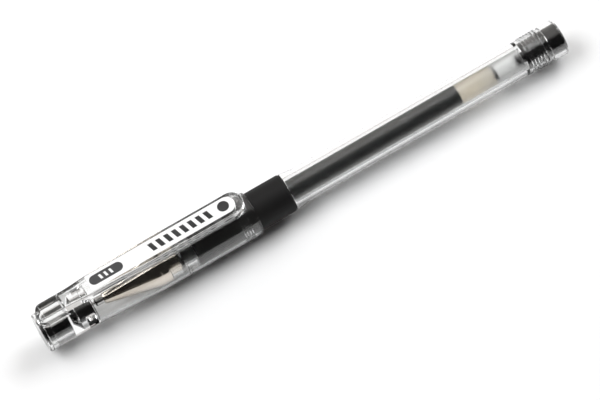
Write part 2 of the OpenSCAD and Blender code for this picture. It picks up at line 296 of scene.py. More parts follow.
# %% Small helpers for node trees
def add(tree, kind, inputs=None, **settings):
    """A node with its settings and its plain input values."""
    made = tree.nodes.new(kind)
    for key, value in settings.items():
        setattr(made, key, value)
    for key, value in (inputs or {}).items():
        if isinstance(value, bpy.types.NodeSocket):
            tree.links.new(value, made.inputs[key])
        else:
            made.inputs[key].default_value = value
    return made


def calc(tree, operation, *values, clamp=False):
    """The output of a Math node on numbers or sockets."""
    inputs = dict(enumerate(values))
    kind = "ShaderNodeMath"
    return add(tree, kind, inputs, operation=operation, use_clamp=clamp).outputs[0]


def ramp_up(tree, value, start, end):
    """0 below start, 1 above end, smooth between."""
    made = add(tree, "ShaderNodeMapRange", {"Value": value, "From Min": start, "From Max": end},
               interpolation_type="SMOOTHSTEP")
    return made.outputs["Result"]


def sockets(tree, ins, outs):
    """Named sockets of a node group: {name: (type, default)} for inputs, {name: type} for outputs."""
    for name, (kind, default) in ins.items():
        made = tree.interface.new_socket(name, in_out="INPUT", socket_type=kind)
        if default is not None:
            made.default_value = default
    for name, kind in outs.items():
        tree.interface.new_socket(name, in_out="OUTPUT", socket_type=kind)
    return tree.nodes.new("NodeGroupInput").outputs, tree.nodes.new("NodeGroupOutput").inputs


# %% The rule for rings, ribs and threads
NUMBER = "NodeSocketFloat"
SHAPE = "NodeSocketGeometry"
PAINT = "NodeSocketMaterial"


def build_ridges():
    """Geometry Nodes tree that raises a repeating ridge on the outer skin of a turned piece."""
    tree = bpy.data.node_groups.new("raised_ridges", "GeometryNodeTree")
    given, result = sockets(tree, {
        "Geometry": (SHAPE, None), "First": (NUMBER, 0.0), "Pitch": (NUMBER, 0.001),
        "Width": (NUMBER, 0.5), "Slope": (NUMBER, 0.15), "Height": (NUMBER, 0.0002),
        "Count": (NUMBER, 4.0), "Turns": (NUMBER, 0.0), "Skin": (NUMBER, 0.004),
        "Axis Height": (NUMBER, 0.005), "Material": (PAINT, None),
    }, {"Geometry": SHAPE})
    position = add(tree, "GeometryNodeInputPosition").outputs[0]
    parts = add(tree, "ShaderNodeSeparateXYZ", {0: position}).outputs
    up = calc(tree, "SUBTRACT", parts["Z"], given["Axis Height"])
    radius = calc(tree, "SQRT", calc(tree, "ADD", calc(tree, "MULTIPLY", parts["Y"], parts["Y"]),
                                     calc(tree, "MULTIPLY", up, up)))
    angle = calc(tree, "DIVIDE", calc(tree, "ARCTAN2", parts["Y"], up), 2 * math.pi)
    along = calc(tree, "DIVIDE", calc(tree, "SUBTRACT", parts["X"], given["First"]), given["Pitch"])
    phase = calc(tree, "ADD", along, calc(tree, "MULTIPLY", angle, given["Turns"]))
    inside = calc(tree, "MULTIPLY", calc(tree, "GREATER_THAN", along, 0.0),
                  calc(tree, "LESS_THAN", along, given["Count"]))
    within = calc(tree, "FRACT", phase)
    rise = ramp_up(tree, within, 0.0, given["Slope"])
    fall = ramp_up(tree, within, calc(tree, "SUBTRACT", given["Width"], given["Slope"]), given["Width"])
    ridge = calc(tree, "SUBTRACT", rise, fall, clamp=True)
    skin = calc(tree, "GREATER_THAN", radius, given["Skin"])
    lift = calc(tree, "MULTIPLY", calc(tree, "MULTIPLY", ridge, inside),
                calc(tree, "MULTIPLY", skin, given["Height"]))
    share = calc(tree, "DIVIDE", lift, radius)
    offset = add(tree, "ShaderNodeCombineXYZ", {
        1: calc(tree, "MULTIPLY", parts["Y"], share), 2: calc(tree, "MULTIPLY", up, share)})
    moved = add(tree, "GeometryNodeSetPosition", {"Geometry": given["Geometry"], "Offset": offset.outputs[0]})
    real = add(tree, "GeometryNodeRealizeInstances", {0: moved.outputs[0]})
    painted = add(tree, "GeometryNodeSetMaterial",
                  {"Geometry": real.outputs[0], "Material": given["Material"]})
    tree.links.new(painted.outputs[0], result["Geometry"])
    return tree


ridge_tree = build_ridges()


def use_tree(piece, tree, **values):
    """A Geometry Nodes modifier whose inputs are set by their socket identifiers."""
    modifier = piece.modifiers.new(tree.name, "NODES")
    modifier.node_group = tree
    for item in tree.interface.items_tree:
        if item.item_type == "SOCKET" and item.in_out == "INPUT" and item.name in values:
            modifier[item.identifier] = values[item.name]
    return modifier


def settle(piece):
    """Turns the piece's modifiers into its plain mesh."""
    graph = bpy.context.evaluated_depsgraph_get()
    mesh = bpy.data.meshes.new_from_object(piece.evaluated_get(graph))
    piece.modifiers.clear()
    mesh.name = piece.name
    piece.data = mesh
    shade(mesh)
    return piece


def cut(piece, cutter, operation="DIFFERENCE"):
    """A boolean of the piece with a cutter, which is then removed."""
    modifier = piece.modifiers.new("cut", "BOOLEAN")
    modifier.operation = operation
    modifier.object = cutter
    modifier.solver = "EXACT"
    settle(piece)
    bpy.data.objects.remove(cutter)
    return piece


# %% [markdown]
# Ridges drawn in the CAD section are taken out of the outline first, and measured, so that the
# node tree gets its first station, pitch, height and count from the CAD. What is left there is a
# smooth wall, cut into fine steps that the tree can shape.

# %% Take ridges out of an outline and measure them
def smooth_run(outline, start, end, base):
    """The outline with its ridges between two stations taken down to base, and what they measured."""
    crests = sorted(x for r, x in outline if start < x < end and r > base + 0.05)
    kept = [(r, x) for r, x in outline if not (start < x < end and r > base - 0.05)]
    ridges = len(crests) // 2
    pitch = (crests[-2] - crests[0]) / (ridges - 1)
    height = max(r for r, x in outline if x in crests) - base
    facts = {"first": crests[0], "pitch": pitch, "count": ridges,
             "crest": crests[1] - crests[0], "height": height}
    print({k: round(v, 3) for k, v in facts.items()})
    return kept, facts


def fine_steps(points, start, end, base, step=0.04):
    """Points every step along the wall at the base radius, between two stations."""
    out = []
    for i, p in enumerate(points):
        out.append(p)
        q = points[(i + 1) % len(points)]
        if abs(p[0] - base) < 0.06 and abs(q[0] - base) < 0.06 and abs(q[1] - p[1]) > 1.0:
            n = int(abs(end - start) / step)
            stations = [start + (end - start) * k / n for k in range(n + 1)]
            low, high = min(p[1], q[1]), max(p[1], q[1])
            inside = [x for x in stations if low < x < high]
            if q[1] < p[1]:
                inside.reverse()
            out += [(p[0] + (q[0] - p[0]) * (x - p[1]) / (q[1] - p[1]), x, 0.0) for x in inside]
    return out


# %% [markdown]
# ## Finishes
# Every surface gets its detail from node groups that several materials share. The first adds
# what handling leaves on glossy plastic and metal: hair scratches that run along the pen, the
# greasy film of fingerprints, and the slow ripple that a mould leaves in a thin wall. The second
# turns the edge attribute into broken wear along the roundings. Patterns read Object
# coordinates, in metres, so each scale below is one over a real size.

# %% Effect: scratches, finger film and mould ripple
VECTOR = "NodeSocketVector"


def noise(tree, vector, size, detail=2.0, rough=0.5):
    """A noise value whose blobs are about size millimetres wide."""
    return add(tree, "ShaderNodeTexNoise", {"Vector": vector, "Scale": 1 / (size * MM), "Detail": detail,
                                            "Roughness": rough}).outputs["Fac"]


def build_marks():
    """Shader group: roughness, finger film and height of a handled glossy surface."""
    tree = bpy.data.node_groups.new("handling_marks", "ShaderNodeTree")
    given, result = sockets(tree, {
        "Vector": (VECTOR, None), "Base Roughness": (NUMBER, 0.03), "Scratches": (NUMBER, 0.1),
        "Smudges": (NUMBER, 0.05), "Ripple": (NUMBER, 1.0),
    }, {"Roughness": NUMBER, "Film": NUMBER, "Height": NUMBER})
    stretched = add(tree, "ShaderNodeMapping",
                    {"Vector": given["Vector"], "Scale": (0.03, 1.0, 1.0)}).outputs[0]
    hair = ramp_up(tree, noise(tree, stretched, 0.12, 1.0), 0.66, 0.72)
    film = ramp_up(tree, noise(tree, given["Vector"], 6.0, 4.0, 0.6), 0.48, 0.72)
    wave = noise(tree, given["Vector"], 5.0, 0.0)
    rough = calc(tree, "ADD", given["Base Roughness"], calc(tree, "MULTIPLY", hair, given["Scratches"]))
    rough = calc(tree, "ADD", rough, calc(tree, "MULTIPLY", film, given["Smudges"]))
    height = calc(tree, "SUBTRACT", calc(tree, "MULTIPLY", wave, given["Ripple"]),
                  calc(tree, "MULTIPLY", hair, given["Scratches"]))
    tree.links.new(rough, result["Roughness"])
    tree.links.new(film, result["Film"])
    tree.links.new(height, result["Height"])
    return tree


# %% Effect: wear along rounded edges
def build_edge_wear():
    """Shader group: a broken mask that follows the edge attribute."""
    tree = bpy.data.node_groups.new("edge_wear", "ShaderNodeTree")
    given, result = sockets(tree, {
        "Vector": (VECTOR, None), "Edge": (NUMBER, 0.0), "Grain": (NUMBER, 0.5), "Amount": (NUMBER, 0.5),
    }, {"Wear": NUMBER})
    size = calc(tree, "DIVIDE", 1 / MM, given["Grain"])
    grain = add(tree, "ShaderNodeTexNoise",
                {"Vector": given["Vector"], "Scale": size, "Detail": 3.0}).outputs["Fac"]
    broken = ramp_up(tree, grain, 0.4, 0.62)
    worn = calc(tree, "MULTIPLY", calc(tree, "MULTIPLY", broken, given["Edge"]), given["Amount"], clamp=True)
    tree.links.new(worn, result["Wear"])
    return tree


marks_tree, wear_tree = build_marks(), build_edge_wear()


# %% [markdown]
# One function lays out the part that all finishes share: the coordinates, the marks, the edge
# wear, and a base colour that shifts slightly where the film lies and more where an edge is worn.
# Values that are the same all over, such as the index of refraction, are set on the shader.
# Clear walls would throw shadows as dark as black ones, because a renderer rarely finds the
# light's bent way through them. For shadows only, they are made plainly see-through.

# %% The common layout of a finish
def blend_colour(tree, share, a, b):
    """A colour between a and b."""
    made = tree.nodes.new("ShaderNodeMix")
    made.data_type = "RGBA"
    tree.links.new(share, made.inputs["Factor"])
    for socket, value in ((made.inputs[6], a), (made.inputs[7], b)):
        if isinstance(value, bpy.types.NodeSocket):
            tree.links.new(value, socket)
        else:
            socket.default_value = (*value, 1.0)
    return made.outputs[2]


def let_light_through(tree, shader, share):
    """Lets this share of the light past each clear surface when a shadow is cast."""
    shadow = tree.nodes.new("ShaderNodeLightPath").outputs["Is Shadow Ray"]
    open_air = add(tree, "ShaderNodeBsdfTransparent", {"Color": (share, share, share, 1.0)})
    mixed = add(tree, "ShaderNodeMixShader", {0: shadow, 1: shader.outputs[0], 2: open_air.outputs[0]})
    tree.links.new(mixed.outputs[0], tree.nodes["Material Output"].inputs["Surface"])


def finish(name, colour, film_colour, worn_colour, roughness, scratches=0.1, smudges=0.05, ripple=1.0,
           grain=0.5, wear=0.4, bump=0.02, clear_shadow=0.0, **plain):
    """A Principled material with marks and edge wear; plain values go straight to its sockets."""
    made = bpy.data.materials.new(name)
    made.use_nodes = True
    tree = made.node_tree
    shader = tree.nodes["Principled BSDF"]
    place = tree.nodes.new("ShaderNodeTexCoord").outputs["Object"]
    edge = add(tree, "ShaderNodeAttribute", attribute_name="edge").outputs["Fac"]
    marks = add(tree, "ShaderNodeGroup", node_tree=marks_tree)
    for key, value in {"Base Roughness": roughness, "Scratches": scratches, "Smudges": smudges,
                       "Ripple": ripple}.items():
        marks.inputs[key].default_value = value
    worn = add(tree, "ShaderNodeGroup", node_tree=wear_tree)
    worn.inputs["Grain"].default_value = grain
    worn.inputs["Amount"].default_value = wear
    tree.links.new(place, marks.inputs["Vector"])
    tree.links.new(place, worn.inputs["Vector"])
    tree.links.new(edge, worn.inputs["Edge"])
    base = blend_colour(tree, marks.outputs["Film"], colour, film_colour)
    base = blend_colour(tree, worn.outputs["Wear"], base, worn_colour)
    tree.links.new(base, shader.inputs["Base Color"])
    tree.links.new(marks.outputs["Roughness"], shader.inputs["Roughness"])
    height = add(tree, "ShaderNodeBump",
                 {"Strength": bump, "Distance": 0.1 * MM, "Height": marks.outputs["Height"]})
    tree.links.new(height.outputs[0], shader.inputs["Normal"])
    for key, value in plain.items():
        shader.inputs[key.replace("_", " ")].default_value = value
    if clear_shadow:
        let_light_through(tree, shader, clear_shadow)
    return made


# %% [markdown]
# The clear shells are polystyrene: nearly colourless, with a refractive index of 1.57. The ink
# tube is polypropylene, which crystals make milky, so light is scattered a little on its way
# through. The cap's plugs are glossy black ABS. The grip and the nib cap are black rubber: dull,
# with a fine grain and a pale bloom of dust. The cone is nickel plated brass with a warm tone.

# %% The materials
clear_styrene = finish("clear_styrene", (0.995, 0.998, 0.995), (0.98, 0.985, 0.98), (0.97, 0.97, 0.97),
                       0.0, scratches=0.05, smudges=0.01, ripple=0.3, wear=0.3, bump=0.01, clear_shadow=0.73,
                       Transmission_Weight=1.0, IOR=1.57)
milky_tube = finish("milky_tube", (0.985, 0.99, 0.985), (0.96, 0.965, 0.96), (0.95, 0.95, 0.95),
                    0.42, scratches=0.06, smudges=0.04, ripple=0.3, wear=0.2, bump=0.01, clear_shadow=0.77,
                    Transmission_Weight=1.0, IOR=1.49)
black_abs = finish("black_abs", (0.005, 0.005, 0.0055), (0.009, 0.009, 0.009), (0.07, 0.07, 0.07),
                   0.12, scratches=0.12, smudges=0.1, ripple=1.0, wear=0.5, bump=0.04, IOR=1.52)
black_rubber = finish("black_rubber", (0.0055, 0.005, 0.005), (0.009, 0.0085, 0.008), (0.03, 0.029, 0.027),
                      0.6, scratches=0.08, smudges=0.12, ripple=1.0, grain=0.3, wear=0.6, bump=0.25, IOR=1.5,
                      Specular_IOR_Level=0.25)
nickel_plate = finish("nickel_plate", (0.68, 0.62, 0.55), (0.68, 0.62, 0.55), (0.86, 0.82, 0.78),
                      0.07, scratches=0.12, smudges=0.06, ripple=1.0, wear=0.6, bump=0.03, Metallic=1.0)
drawn_steel = finish("drawn_steel", (0.62, 0.61, 0.6), (0.55, 0.54, 0.53), (0.75, 0.75, 0.75),
                     0.18, scratches=0.25, smudges=0.05, wear=0.4, bump=0.05, Metallic=1.0)
hard_carbide = finish("hard_carbide", (0.42, 0.42, 0.44), (0.36, 0.36, 0.38), (0.5, 0.5, 0.5),
                      0.1, scratches=0.02, smudges=0.02, wear=0.0, bump=0.01, Metallic=1.0)
natural_joint = finish("natural_joint", (0.82, 0.82, 0.78), (0.76, 0.76, 0.72), (0.9, 0.9, 0.88),
                       0.35, scratches=0.1, smudges=0.1, wear=0.3, bump=0.08, IOR=1.5,
                       Transmission_Weight=0.35)
wet_ink = finish("wet_ink", (0.010, 0.012, 0.012), (0.018, 0.022, 0.021), (0.03, 0.03, 0.03),
                 0.2, scratches=0.0, smudges=0.08, ripple=0.4, wear=0.0, bump=0.02, IOR=1.36)
cream_grease = finish("cream_grease", (0.95, 0.86, 0.72), (0.96, 0.91, 0.82), (0.93, 0.84, 0.7),
                      0.4, scratches=0.0, smudges=0.1, ripple=0.6, wear=0.0, bump=0.03, clear_shadow=0.85,
                      IOR=1.47, Transmission_Weight=0.85)
grey_float = finish("grey_float", (0.13, 0.13, 0.125), (0.2, 0.2, 0.19), (0.3, 0.3, 0.3),
                    0.4, scratches=0.1, smudges=0.1, wear=0.3, bump=0.1, IOR=1.45)
white_print = finish("white_print", (0.98, 0.98, 0.975), (0.96, 0.96, 0.95), (0.9, 0.9, 0.9),
                     0.6, scratches=0.15, smudges=0.1, ripple=0.5, wear=0.2, bump=0.05, IOR=1.45,
                     Transmission_Weight=0.1)
grey_print = finish("grey_print", (0.045, 0.045, 0.047), (0.06, 0.06, 0.06), (0.3, 0.3, 0.3),
                    0.42, scratches=0.15, smudges=0.1, ripple=0.5, wear=0.2, bump=0.05, IOR=1.45)
black_print = finish("black_print", (0.02, 0.02, 0.021), (0.03, 0.03, 0.03), (0.2, 0.2, 0.2),
                     0.4, scratches=0.15, smudges=0.1, ripple=0.5, wear=0.2, bump=0.05, IOR=1.45)
print("finishes:", len(bpy.data.materials))


def dress(piece, material, body=None):
    """Gives a piece its material and the body it rides on."""
    piece.data.materials.clear()
    piece.data.materials.append(material)
    if body:
        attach(piece, body)
    return piece


# %% [markdown]
# ## The cap
# The cap's tube is one clear moulding: a thick neck with a bore for each black plug, a long
# taper, and a thin parallel skirt with four finger rings and a lip at its mouth. Two small
# windows let air past the nib cap, and the nib cap's lugs sit in them. The tube is turned from
# its CAD outline, the rings are raised by the node tree, and the windows are cut last.

# %% Window cutter: a small block with rounded edges
def block(name, low, high, round_mm, segments=3):
    """A rounded block between two (station, across, up) corners in millimetres."""
    bm = bmesh.new()
    bmesh.ops.create_cube(bm, size=1.0)
    centre = [(a + b) / 2 for a, b in zip(low, high)]
    size = [b - a for a, b in zip(low, high)]
    for v in bm.verts:
        v.co = spot(*[c + s * k for c, s, k in zip(centre, size, v.co)])
    bmesh.ops.bevel(bm, geom=bm.edges[:], offset=round_mm * MM, segments=segments, profile=0.5,
                    affect="EDGES")
    return finish_mesh(bm, name)


# %% Cap tube with its finger rings
CLEAR_ROUND = 0.12
RINGS_FROM, RINGS_TO = 5.2, 2.1
STEPS_FROM, STEPS_TO = 4.9, 2.0
mouth = span("cap_tube")[1]
cap_outline = tidy(section("cap_tube"))
cap_skin = max(r for r, x in cap_outline if x < mouth - 6)
cap_outline, rings = smooth_run(cap_outline, mouth - RINGS_FROM, mouth - RINGS_TO, cap_skin)
points = soften(tidy(cap_outline), CLEAR_ROUND)
points = fine_steps(points, mouth - STEPS_FROM, mouth - STEPS_TO, cap_skin)
cap_tube = turned("cap_tube_moulding", points)


def raise_ridges(piece, facts, skin, turns=0.0, material=None):
    """Runs the ridge tree on a piece with what smooth_run measured."""
    width = 2 * facts["crest"] / facts["pitch"]
    use_tree(piece, ridge_tree, **{
        "First": crown_x + (facts["first"] - facts["crest"] / 2) * MM, "Pitch": facts["pitch"] * MM,
        "Width": width, "Slope": width / 3, "Height": facts["height"] * MM, "Count": float(facts["count"]),
        "Turns": turns, "Skin": (skin - 0.2) * MM, "Axis Height": axis_z, "Material": material})
    return settle(piece)


raise_ridges(cap_tube, rings, cap_skin, material=clear_styrene)

# %% Cut the two windows
WINDOW_LENGTH, WINDOW_HALF = 2.4, 1.1
nib_mouth = span("nib_cap")[1]
window_end = nib_mouth - 0.3
for side in (-1, 1):
    near, far = sorted((side * 1.2, side * 7.0))
    cutter = block("window_cutter", (window_end - WINDOW_LENGTH, near, -WINDOW_HALF),
                   (window_end, far, WINDOW_HALF), 0.15)
    cut(cap_tube, cutter)
dress(cap_tube, clear_styrene, "cap")
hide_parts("cap_tube")
print("cap tube:", len(cap_tube.data.polygons), "faces")

# %% [markdown]
# A black plug closes the crown. Only its round face is seen from outside, but its body shows
# through the neck as a black cylinder. The nib cap behind it is a rubber sleeve that seals the
# writing tip: a blind bore, a cone at its closed end, and two square lugs for the windows. The
# thin air gap round each plug is kept. It is what makes a black plug look narrower than it is,
# with a grey mirror-like band beside it.

# %% End plug and nib cap
end_plug = turned("cap_end_plug_moulding", soften(tidy(section("cap_end_plug")), 0.1))
dress(end_plug, black_abs, "cap")
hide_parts("cap_end_plug")

nib_cap = turned("nib_cap_moulding", soften(tidy(section("nib_cap")), 0.12))
lug_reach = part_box("nib_cap")[1].y / MM
for side in (-1, 1):
    near, far = sorted((side * 2.0, side * lug_reach))
    lug = block("lug", (window_end - WINDOW_LENGTH + 0.15, near, -WINDOW_HALF + 0.15),
                (window_end - 0.15, far, WINDOW_HALF - 0.15), 0.12)
    nib_cap.data.materials.clear()
    with bpy.context.temp_override(active_object=nib_cap, selected_editable_objects=[nib_cap, lug]):
        bpy.ops.object.join()
dress(nib_cap, black_rubber, "cap")
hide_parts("nib_cap")

# %% [markdown]
# The crown ring and the clip are one clear moulding. The clip starts as a solid root that rises
# from the crown in a quarter round and sits on the neck like a saddle. Behind the root it is
# free: a flat plate with a rail down each side, so that its underside is a long shallow pocket,
# and a half-round free end. It could be lofted along its length, but then the rounded edge
# would die out at the free end. Here it is built as a stack of rings instead: each ring is the
# clip's plan drawn a little smaller or larger, at its own height, so the same rounding runs all
# the way round the nose, the sides and the end.

# %% Plan of the clip at any inset
ROOT_HALF, WAIST_HALF = 2.2, 2.65
root_start, arm_end = 0.3, span("clip_arm")[1]
root_end = span("cap_crown")[1]
clip_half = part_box("clip_arm")[1].y / MM
pivot = next(j for j in frame["joints"] if j["name"] == "clip_flex")
pivot_at = (pivot["pos_m"][0] - crown_x) / MM
clip_top = (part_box("clip_arm")[1].z - axis_z) / MM
clip_under = (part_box("clip_arm")[0].z - axis_z) / MM
WAIST_AT, FULL_AT = pivot_at + 8, pivot_at + 26
print(f"clip: pivot {pivot_at:.1f}, end {arm_end:.1f}, heights {clip_under:.2f} to {clip_top:.2f}")


def ease(t):
    """Smooth step from 0 to 1."""
    t = min(max(t, 0.0), 1.0)
    return t * t * (3 - 2 * t)


def half_width(station):
    """Half the clip's width: narrow at the root, full from the middle on."""
    waist = ROOT_HALF + (WAIST_HALF - ROOT_HALF) * ease((station - pivot_at) / (WAIST_AT - pivot_at))
    return waist + (clip_half - WAIST_HALF) * ease((station - WAIST_AT) / (FULL_AT - WAIST_AT))


def steps(a, b, n):
    """n equal steps from a to b, both ends included."""
    return [a + (b - a) * k / n for k in range(n + 1)]


CORNER_STEPS = 12
SIDE_STATIONS = steps(0.0, 1.0, 110)


def plan(start, end, inset, shrink=0.0):
    """Right-hand side of the plan as (station, across) points, from the nose tip to the end tip."""
    nose, tail = half_width(start + ROOT_HALF) - shrink, half_width(end) - shrink
    a, b = start + nose, end - tail
    turn_in = [math.pi - math.pi / 2 * k / CORNER_STEPS for k in range(CORNER_STEPS)]
    turn_out = [math.pi / 2 - math.pi / 2 * k / CORNER_STEPS for k in range(1, CORNER_STEPS + 1)]
    points = [(a + (nose - inset) * math.cos(t), (nose - inset) * math.sin(t)) for t in turn_in]
    points += [(a + (b - a) * k, half_width(a + (b - a) * k) - shrink - inset) for k in SIDE_STATIONS]
    points += [(b + (tail - inset) * math.cos(t), (tail - inset) * math.sin(t)) for t in turn_out]
    return points


# %% Build a solid from its stack of rings
def ring_stack(name, rings):
    """A closed solid from right-hand rings of (station, across, up, edge), mirrored and capped."""
    bm = bmesh.new()
    edge_layer = bm.verts.layers.float.new("edge")
    made = []
    for ring in rings:
        right, left = [], []
        last = len(ring) - 1
        for i, (station, across, up, edge) in enumerate(ring):
            right.append(bm.verts.new(spot(station, across, up)))
            left.append(right[-1] if i in (0, last) else bm.verts.new(spot(station, -across, up)))
            right[-1][edge_layer] = left[-1][edge_layer] = edge
        made.append((right, left))
    for right, left in (made[0], made[-1]):
        for i in range(len(right) - 1):
            corners = [right[i], right[i + 1], left[i + 1], left[i]]
            bm.faces.new([v for k, v in enumerate(corners) if v not in corners[:k]])
    for (right, left), (next_right, next_left) in zip(made, made[1:]):
        loop, ahead = right + left[-2:0:-1], next_right + next_left[-2:0:-1]
        stitch(bm, loop, ahead)
    return finish_mesh(bm, name)


TOP_ROUND, UNDER_ROUND = 0.35, 0.2
NOSE_UP, NOSE_RUN = 4.25, 2.0
SADDLE_UP, BLOCK_END = 3.6, 7.0


def top_at(station):
    """Height of the clip's top: a quarter round over the root, then level."""
    run = min(max((root_start + NOSE_RUN - station) / NOSE_RUN, 0.0), 1.0)
    return NOSE_UP + (clip_top - NOSE_UP) * math.sqrt(1 - run ** 2)


def under_at(station):
    """Height of the clip's underside: down to the neck at the root, level behind it."""
    return SADDLE_UP + (clip_under - SADDLE_UP) * ease((station - BLOCK_END) / 0.5)


def ring_at(inset, height, edge, **ends):
    """One ring: the plan at an inset, with its height given by the station."""
    sides = plan(ends["start"], ends["end"], inset, ends.get("shrink", 0.0))
    return [(x, y, height(x), edge) for x, y in sides]


def quarter(radius, count, upper=True):
    """(inset, height change, edge) of a rounding, with a support ring before and after it."""
    made = []
    for k in range(count + 1):
        a = math.pi / 2 * k / count
        share = (1 - math.sin(a), 1 - math.cos(a))
        made.append((radius * share[0], radius * share[1], math.sin(2 * a)))
    made = [(radius + SUPPORT, 0.0, 0.0)] + made + [(0.0, radius + SUPPORT, 0.0)]
    return made if upper else made[::-1]


whole = {"start": root_start, "end": arm_end}
rings = [ring_at(inset, lambda x, d=drop: top_at(x) - d, edge, **whole)
         for inset, drop, edge in quarter(TOP_ROUND, 5)]
rings += [ring_at(inset, lambda x, r=rise: under_at(x) + r, edge, **whole)
          for inset, rise, edge in quarter(UNDER_ROUND, 4, upper=False)]
clip = ring_stack("crown_and_clip", rings)

# %% The pocket under the arm, the saddle, and the crown ring
POCKET_START, POCKET_GAP, RAIL, PLATE, ROOF_ROUND = 11.4, 2.1, 0.5, 1.9, 0.15
roof = clip_top - PLATE
hollow = {"start": POCKET_START, "end": arm_end - POCKET_GAP, "shrink": RAIL}
rings = [ring_at(inset, lambda x, h=roof - drop: h, edge, **hollow)
         for inset, drop, edge in quarter(ROOF_ROUND, 4)]
rings.append(ring_at(0.0, lambda x: clip_under - 1.0, 0.0, **hollow))
cut(clip, ring_stack("pocket_cutter", rings))
FIT, CROWN_BORE = 0.02, 4.4
neck = max(r for r, x in section("cap_tube") if root_end < x < root_end + 2) + FIT
for cutter, radius, start, end in (("neck_cutter", neck, root_end, 10),
                                   ("bore_cutter", CROWN_BORE, -1, root_end + 0.1)):
    cut(clip, turned(cutter, [(0, start, 0), (radius, start, 0), (radius, end, 0), (0, end, 0)], 256))
crown = turned("crown_ring", soften(tidy(section("cap_crown")), CLEAR_ROUND), 192)
cut(clip, crown, "UNION")
dress(clip, clear_styrene)
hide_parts("cap_crown", "clip_arm")
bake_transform(clip)
print("crown and clip:", len(clip.data.polygons), "faces, neck", round(neck, 2))

# %% [markdown]
# The clip's top is pad printed: a white strip, with a dark label field near the crown, a row of
# slanted bars and a round spot. Ink on plastic is a very thin layer with its own dull gloss, so
# each print is a thin plate sunk into the clip's top by two hundredths of a millimetre. Words
# are not drawn: the label carries plain blocks, and the row is made of equal bars.

# %% Thin printed plates
PRINT_DEEP = 0.02


def plate(name, outline, thickness, material):
    """A thin print on the clip from its (station, across) outline."""
    bm = bmesh.new()
    rise = (PRINT_DEEP + thickness) * MM
    low = [bm.verts.new(spot(x, y, clip_top - PRINT_DEEP)) for x, y in outline]
    high = [bm.verts.new((v.co.x, v.co.y, v.co.z + rise)) for v in low]
    bm.faces.new(low)
    bm.faces.new(high)
    stitch(bm, low, high)
    return dress(finish_mesh(bm, name), material, "clip")


def pill(start, end, half, across, nose, tail, count=12):
    """A long outline whose two ends have corner radii nose and tail."""
    points = []
    corners = ((end - tail, half - tail, tail, 0), (start + nose, half - nose, nose, 1),
               (start + nose, nose - half, nose, 2), (end - tail, tail - half, tail, 3))
    for x, y, radius, quarter in corners:
        for k in range(count + 1):
            a = math.pi / 2 * (quarter + k / count)
            points.append((x + radius * math.cos(a), across + y + radius * math.sin(a)))
    return points


OFFSET = 0.2
prints = (("white_strip", pill(14.5, arm_end - 2.0, 2.2, OFFSET - 0.1, 0.5, 2.15), 0.010, white_print),
          ("label_rim", pill(15.0, 23.6, 1.3, OFFSET, 1.28, 1.28), 0.014, black_print),
          ("label_field", pill(15.15, 23.45, 1.15, OFFSET, 1.13, 1.13), 0.018, grey_print),
          ("round_spot", pill(48.95, 51.75, 1.4, OFFSET, 1.39, 1.39, 16), 0.014, black_print))
for name, outline, thickness, material in prints:
    plate(name, outline, thickness, material)

# %% [markdown]
# The marks are a row of equal slanted blocks, so a node tree makes them: one block, sheared,
# put on every point of a line. The same tree makes the small pale marks in the label.

# %% A row of slanted printed bars
WHOLE = "NodeSocketInt"


def build_bars():
    """Geometry Nodes tree: a row of equal slanted blocks."""
    tree = bpy.data.node_groups.new("slanted_bars", "GeometryNodeTree")
    given, result = sockets(tree, {
        "Start": (VECTOR, None), "Pitch": (NUMBER, 0.001), "Count": (WHOLE, 8),
        "Width": (NUMBER, 0.0005), "Length": (NUMBER, 0.002), "Thickness": (NUMBER, 0.00003),
        "Slant": (NUMBER, 0.2), "Material": (PAINT, None),
    }, {"Geometry": SHAPE})
    step = add(tree, "ShaderNodeCombineXYZ", {0: given["Pitch"]}).outputs[0]
    line = add(tree, "GeometryNodeMeshLine", {"Count": given["Count"], "Start Location": given["Start"],
                                              "Offset": step})
    size = add(tree, "ShaderNodeCombineXYZ", {0: given["Width"], 1: given["Length"], 2: given["Thickness"]})
    bar = add(tree, "GeometryNodeMeshCube", {"Size": size.outputs[0]})
    parts = add(tree, "ShaderNodeSeparateXYZ", {0: add(tree, "GeometryNodeInputPosition").outputs[0]}).outputs
    lean = add(tree, "ShaderNodeCombineXYZ", {0: calc(tree, "MULTIPLY", parts["Y"], given["Slant"])}).outputs[0]
    slanted = add(tree, "GeometryNodeSetPosition", {"Geometry": bar.outputs[0], "Offset": lean})
    row = add(tree, "GeometryNodeInstanceOnPoints",
              {"Points": line.outputs[0], "Instance": slanted.outputs[0]})
    real = add(tree, "GeometryNodeRealizeInstances", {0: row.outputs[0]})
    painted = add(tree, "GeometryNodeSetMaterial",
                  {"Geometry": real.outputs[0], "Material": given["Material"]})
    tree.links.new(painted.outputs[0], result["Geometry"])
    return tree


bar_tree = build_bars()


def bar_row(name, start, pitch, count, width, length, slant, thickness, material):
    """A row of bars printed on the clip, from its first bar's station."""
    mesh = bpy.data.meshes.new(name)
    piece = bpy.data.objects.new(name, mesh)
    bpy.context.scene.collection.objects.link(piece)
    middle = clip_top + (thickness - PRINT_DEEP) / 2
    use_tree(piece, bar_tree, **{
        "Start": tuple(spot(start, OFFSET, middle)), "Pitch": pitch * MM, "Count": count, "Width": width * MM,
        "Length": length * MM, "Thickness": (PRINT_DEEP + thickness) * MM, "Slant": slant, "Material": material})
    settle(piece)
    print(f"{name}: {len(piece.data.polygons)} faces")
    return dress(piece, material, "clip")


bar_row("printed_bars", 31.6, 2.1, 8, 1.15, 2.3, -0.25, 0.014, black_print)
bar_row("label_marks", 17.9, 1.35, 3, 0.6, 1.3, -0.2, 0.022, white_print)

# %% [markdown]
# ## The barrel and the metal cone
# The barrel is the longest moulding: a clear tube with a thicker collar in front of the grip, a
# snap bead that the cap clicks over, a shoulder behind the grip, fine ribs round the tail, and a
# plain collar at the end that makes room for the plug. The ribs come from the ridge tree.

